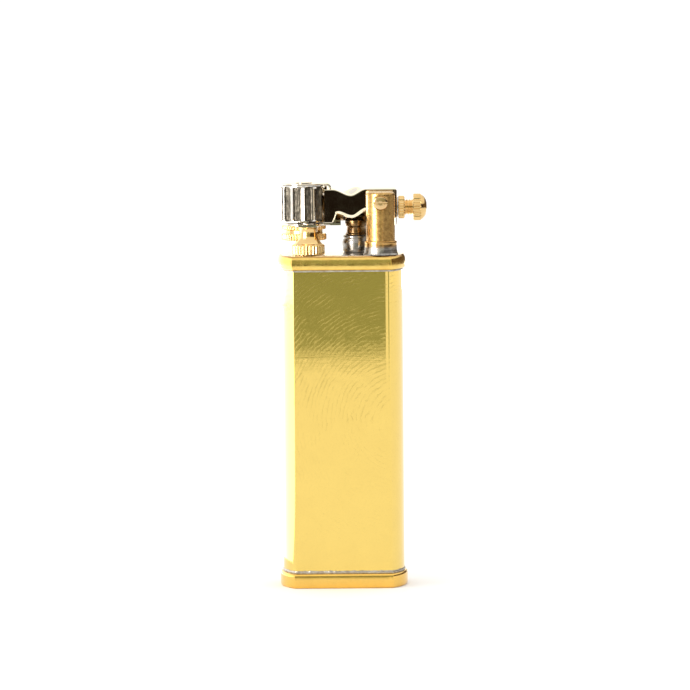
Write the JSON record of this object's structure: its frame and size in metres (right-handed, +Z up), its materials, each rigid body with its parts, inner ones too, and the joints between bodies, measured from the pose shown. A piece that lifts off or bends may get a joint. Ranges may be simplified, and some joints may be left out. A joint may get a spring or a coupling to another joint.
{
  "type": "lift-arm petrol lighter",
  "caption": "Slim brass lift-arm petrol lighter with a fluted horizontal striking wheel, hinge post, snuffer and knurled flint screw.",
  "frame": {"origin": "centre of the flat base face that the lighter stands on", "axes": "+Z up along the case, +X towards the flint screw's end, -Y out of the broad face with the hinge post and the snuffer"},
  "size_m": [0.0296, 0.0153, 0.0797],
  "materials": {
    "case_brass": "polished, lightly scratched",
    "knurled_brass": "polished",
    "old_brass": "tarnished",
    "plating": "polished",
    "file_cut_steel": "file-cut",
    "spring_steel": "drawn",
    "solder": "dull",
    "cotton": "loose fibre",
    "felt": "felted",
    "rubber": "matt",
    "flint": "dull"
  },
  "bodies": {
    "case": {"case_tube": "case_brass", "base_cap": "case_brass", "top_cap": "case_brass", "base_solder": "solder", "top_solder": "solder", "filler_bush": "case_brass", "cotton_wadding": "cotton", "wick": "cotton", "wick_tube": "old_brass", "hinge_post": "old_brass", "post_collar": "solder", "post_nut": "old_brass", "pivot_screw": "knurled_brass", "pivot_nut": "old_brass", "rest_pillar": "old_brass", "pillar_socket": "plating", "pillar_nut": "old_brass"},
    "arm": {"lift_arm": "plating", "lower_plate": "plating", "pivot_bush": "old_brass", "snuffer_bell": "knurled_brass", "snuffer_felt": "felt", "snuffer_rivet": "plating", "flint_tube": "old_brass", "flint": "flint", "flint_spring": "spring_steel"},
    "striker": {"striking_wheel": "file_cut_steel", "thumb_spool": "knurled_brass", "wheel_arbor": "plating", "arbor_nut": "knurled_brass"},
    "flint_feed": {"flint_screw": "knurled_brass"},
    "pusher": {"flint_pusher": "knurled_brass"},
    "lock_nut": {"lock_nut": "knurled_brass"},
    "lock_washer": {"lock_washer": "spring_steel"},
    "filler_screw": {"filler_screw": "case_brass"},
    "filler_gasket": {"filler_gasket": "rubber"}
  },
  "joints": [
    {"name": "arm_lift", "type": "hinge", "parent": "case", "child": "arm", "pos_m": [0.0077, 0, 0.076], "axis": [0, 1, 0], "range_deg": [0, 68]},
    {"name": "wheel_spin", "type": "hinge", "parent": "arm", "child": "striker", "pos_m": [-0.0074, 0.0031, 0.075], "axis": [0, 0, 1], "continuous": true},
    {"name": "flint_screw_turn", "type": "hinge", "parent": "pusher", "child": "flint_feed", "pos_m": [0.015, 0.0031, 0.0746], "axis": [1, 0, 0], "range_deg": [0, 360]},
    {"name": "flint_feed_slide", "type": "slide", "parent": "arm", "child": "pusher", "axis": [1, 0, 0], "range_m": [0, 0.0005]},
    {"name": "lock_nut_turn", "type": "hinge", "parent": "lock_washer", "child": "lock_nut", "pos_m": [0.012, 0.0031, 0.0746], "axis": [1, 0, 0], "range_deg": [0, 720]},
    {"name": "lock_nut_slide", "type": "slide", "parent": "arm", "child": "lock_washer", "axis": [1, 0, 0], "range_m": [0, 0.001]},
    {"name": "filler_screw_turn", "type": "hinge", "parent": "filler_gasket", "child": "filler_screw", "pos_m": [-0.0055, 0, 0.001], "axis": [0, 0, -1], "range_deg": [0, 2880]},
    {"name": "filler_screw_slide", "type": "slide", "parent": "case", "child": "filler_gasket", "axis": [0, 0, -1], "range_m": [0, 0.006]}
  ],
  "couplings": [
    {"joint": "flint_screw_turn", "follows": "flint_feed_slide", "rad_per_m": 12566},
    {"joint": "lock_nut_turn", "follows": "lock_nut_slide", "rad_per_m": 12566},
    {"joint": "filler_screw_turn", "follows": "filler_screw_slide", "rad_per_m": 8377.6}
  ]
}
